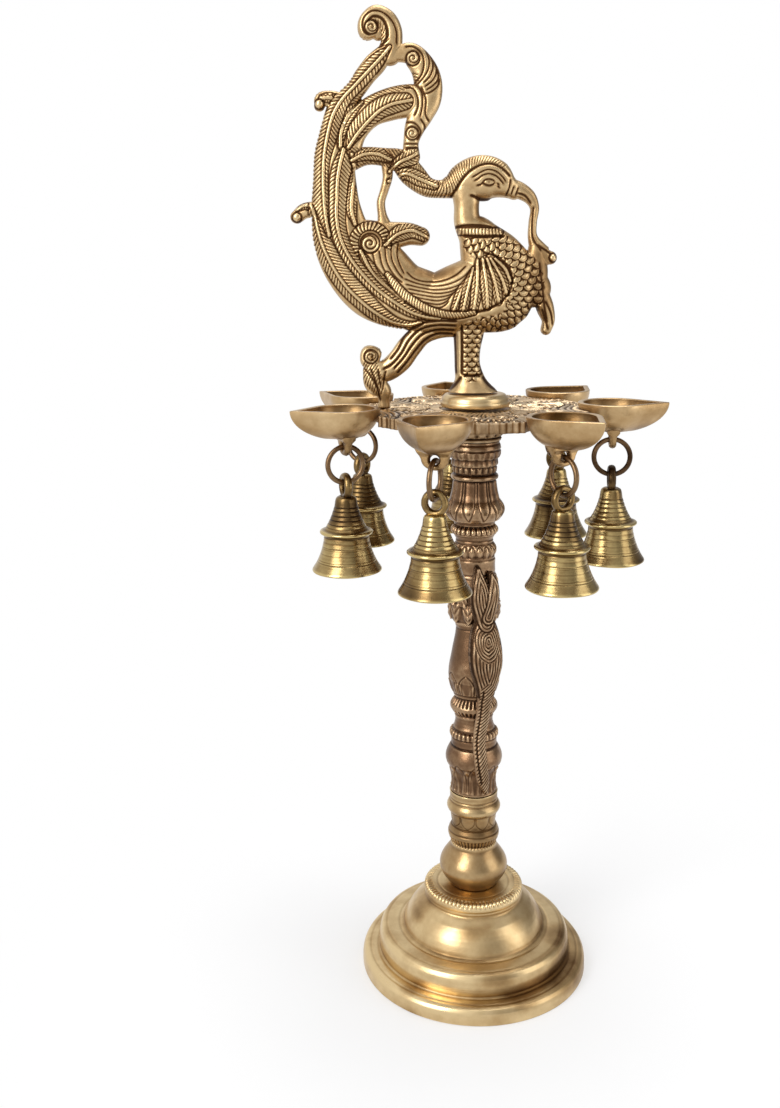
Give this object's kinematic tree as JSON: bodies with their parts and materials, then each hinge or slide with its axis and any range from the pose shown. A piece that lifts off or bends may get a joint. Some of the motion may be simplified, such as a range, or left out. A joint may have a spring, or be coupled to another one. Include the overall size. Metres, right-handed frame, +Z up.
{
  "type": "standing oil lamp",
  "caption": "Standing brass oil lamp: stepped foot, carved column, tray of spouted oil cups with hanging bells, and an openwork peacock on top.",
  "frame": {"origin": "centre of the foot's underside, on the column's axis", "axes": "+Z up along the column; +X the way the peacock looks; -Y the front"},
  "size_m": [0.1695, 0.1696, 0.4498],
  "materials": {
    "polished_brass": "polished, lightly aged",
    "aged_brass": "cast and chased, dark in the recesses",
    "dark_bronze": "dark brown patina, bright on the high points",
    "bell_brass": "dull yellow brass with dark bands",
    "steel": "plain machined steel"
  },
  "bodies": {
    "lamp": {"base": "polished_brass", "base_washer": "steel", "base_nut": "steel", "column_lower": "polished_brass", "column_middle": "dark_bronze", "column_upper": "dark_bronze", "column_bird": "dark_bronze", "tray": "aged_brass", "peacock_stand": "polished_brass", "peacock": "aged_brass", "cup_1": "polished_brass", "cup_2": "polished_brass", "cup_3": "polished_brass", "cup_4": "polished_brass", "cup_5": "polished_brass", "cup_6": "polished_brass", "cup_7": "polished_brass"},
    "ring_1": {"ring_1": "bell_brass"},
    "bell_1": {"bell_1": "bell_brass"},
    "clapper_1": {"clapper_1": "bell_brass"},
    "ring_2": {"ring_2": "bell_brass"},
    "bell_2": {"bell_2": "bell_brass"},
    "clapper_2": {"clapper_2": "bell_brass"},
    "ring_3": {"ring_3": "bell_brass"},
    "bell_3": {"bell_3": "bell_brass"},
    "clapper_3": {"clapper_3": "bell_brass"},
    "ring_4": {"ring_4": "bell_brass"},
    "bell_4": {"bell_4": "bell_brass"},
    "clapper_4": {"clapper_4": "bell_brass"},
    "ring_5": {"ring_5": "bell_brass"},
    "bell_5": {"bell_5": "bell_brass"},
    "clapper_5": {"clapper_5": "bell_brass"},
    "ring_6": {"ring_6": "bell_brass"},
    "bell_6": {"bell_6": "bell_brass"},
    "clapper_6": {"clapper_6": "bell_brass"},
    "ring_7": {"ring_7": "bell_brass"},
    "bell_7": {"bell_7": "bell_brass"},
    "clapper_7": {"clapper_7": "bell_brass"}
  },
  "joints": [
    {"name": "ring_swing_1", "type": "hinge", "parent": "lamp", "child": "ring_1", "pos_m": [0.0619, -0.00705, 0.25991], "axis": [0.9936, -0.1132, 0], "range_deg": [-11, 11]},
    {"name": "bell_swing_1", "type": "hinge", "parent": "ring_1", "child": "bell_1", "pos_m": [0.0619, -0.00705, 0.25181], "axis": [0.1132, 0.9936, 0], "range_deg": [-20, 20]},
    {"name": "clapper_swing_1", "type": "hinge", "parent": "bell_1", "child": "clapper_1", "pos_m": [0.0619, -0.00705, 0.23211], "axis": [0.9936, -0.1132, 0], "range_deg": [-18, 18]},
    {"name": "ring_swing_2", "type": "hinge", "parent": "lamp", "child": "ring_2", "pos_m": [0.04411, 0.044, 0.25991], "axis": [0.708, 0.7062, 0], "range_deg": [-11, 11]},
    {"name": "bell_swing_2", "type": "hinge", "parent": "ring_2", "child": "bell_2", "pos_m": [0.04411, 0.044, 0.25181], "axis": [-0.7062, 0.708, 0], "range_deg": [-20, 20]},
    {"name": "clapper_swing_2", "type": "hinge", "parent": "bell_2", "child": "clapper_2", "pos_m": [0.04411, 0.044, 0.23211], "axis": [0.708, 0.7062, 0], "range_deg": [-18, 18]},
    {"name": "ring_swing_3", "type": "hinge", "parent": "lamp", "child": "ring_3", "pos_m": [-0.0069, 0.06192, 0.25991], "axis": [-0.1107, 0.9939, 0], "range_deg": [-11, 11]},
    {"name": "bell_swing_3", "type": "hinge", "parent": "ring_3", "child": "bell_3", "pos_m": [-0.0069, 0.06192, 0.25181], "axis": [-0.9939, -0.1107, 0], "range_deg": [-20, 20]},
    {"name": "clapper_swing_3", "type": "hinge", "parent": "bell_3", "child": "clapper_3", "pos_m": [-0.0069, 0.06192, 0.23211], "axis": [-0.1107, 0.9939, 0], "range_deg": [-18, 18]},
    {"name": "ring_swing_4", "type": "hinge", "parent": "lamp", "child": "ring_4", "pos_m": [-0.05271, 0.03321, 0.25991], "axis": [-0.8461, 0.5331, 0], "range_deg": [-11, 11]},
    {"name": "bell_swing_4", "type": "hinge", "parent": "ring_4", "child": "bell_4", "pos_m": [-0.05271, 0.03321, 0.25181], "axis": [-0.5331, -0.8461, 0], "range_deg": [-20, 20]},
    {"name": "clapper_swing_4", "type": "hinge", "parent": "bell_4", "child": "clapper_4", "pos_m": [-0.05271, 0.03321, 0.23211], "axis": [-0.8461, 0.5331, 0], "range_deg": [-18, 18]},
    {"name": "ring_swing_5", "type": "hinge", "parent": "lamp", "child": "ring_5", "pos_m": [-0.05883, -0.0205, 0.25991], "axis": [-0.9443, -0.3291, 0], "range_deg": [-11, 11]},
    {"name": "bell_swing_5", "type": "hinge", "parent": "ring_5", "child": "bell_5", "pos_m": [-0.05883, -0.0205, 0.25181], "axis": [0.3291, -0.9443, 0], "range_deg": [-20, 20]},
    {"name": "clapper_swing_5", "type": "hinge", "parent": "bell_5", "child": "clapper_5", "pos_m": [-0.05883, -0.0205, 0.23211], "axis": [-0.9443, -0.3291, 0], "range_deg": [-18, 18]},
    {"name": "ring_swing_6", "type": "hinge", "parent": "lamp", "child": "ring_6", "pos_m": [-0.02065, -0.05878, 0.25991], "axis": [-0.3315, -0.9435, 0], "range_deg": [-11, 11]},
    {"name": "bell_swing_6", "type": "hinge", "parent": "ring_6", "child": "bell_6", "pos_m": [-0.02065, -0.05878, 0.25181], "axis": [0.9435, -0.3315, 0], "range_deg": [-20, 20]},
    {"name": "clapper_swing_6", "type": "hinge", "parent": "bell_6", "child": "clapper_6", "pos_m": [-0.02065, -0.05878, 0.23211], "axis": [-0.3315, -0.9435, 0], "range_deg": [-18, 18]},
    {"name": "ring_swing_7", "type": "hinge", "parent": "lamp", "child": "ring_7", "pos_m": [0.03308, -0.05279, 0.25991], "axis": [0.531, -0.8474, 0], "range_deg": [-11, 11]},
    {"name": "bell_swing_7", "type": "hinge", "parent": "ring_7", "child": "bell_7", "pos_m": [0.03308, -0.05279, 0.25181], "axis": [0.8474, 0.531, 0], "range_deg": [-20, 20]},
    {"name": "clapper_swing_7", "type": "hinge", "parent": "bell_7", "child": "clapper_7", "pos_m": [0.03308, -0.05279, 0.23211], "axis": [0.531, -0.8474, 0], "range_deg": [-18, 18]}
  ]
}
